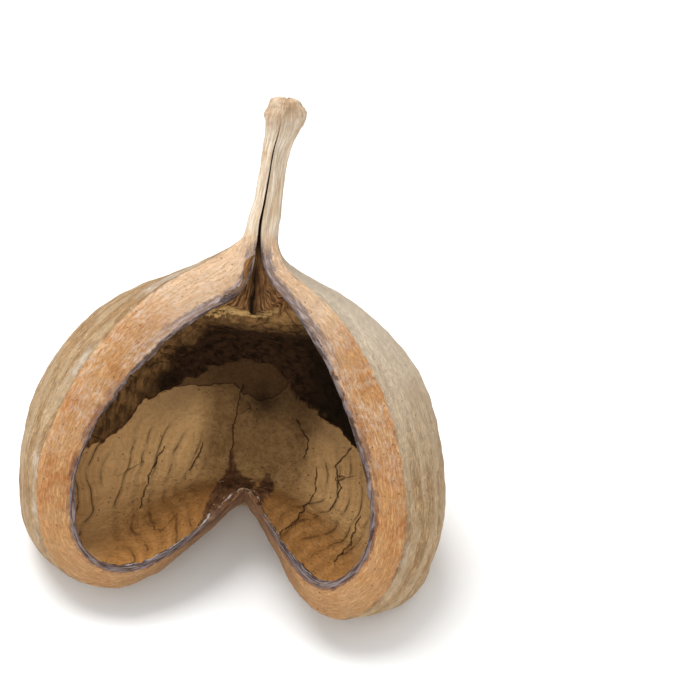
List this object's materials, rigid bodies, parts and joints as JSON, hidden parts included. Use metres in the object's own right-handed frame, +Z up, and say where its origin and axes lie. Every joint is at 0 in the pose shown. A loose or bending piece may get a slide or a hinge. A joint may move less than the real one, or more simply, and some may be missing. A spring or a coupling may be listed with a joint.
{
  "type": "split woody seed pod",
  "caption": "Dried woody seed pod with a stalk, split along its seam and spread into an open heart-shaped cup that rests on its rounded back.",
  "frame": {"origin": "centre of the bounding box, at the floor that the pod rests on", "axes": "+Z up, the opening faces -Y and up, +X across the two lobes"},
  "size_m": [0.1374, 0.1066, 0.1318],
  "materials": {
    "dry_husk": "dry fibrous husk, matte"
  },
  "bodies": {
    "root": {"pod": "dry_husk"}
  },
  "joints": []
}
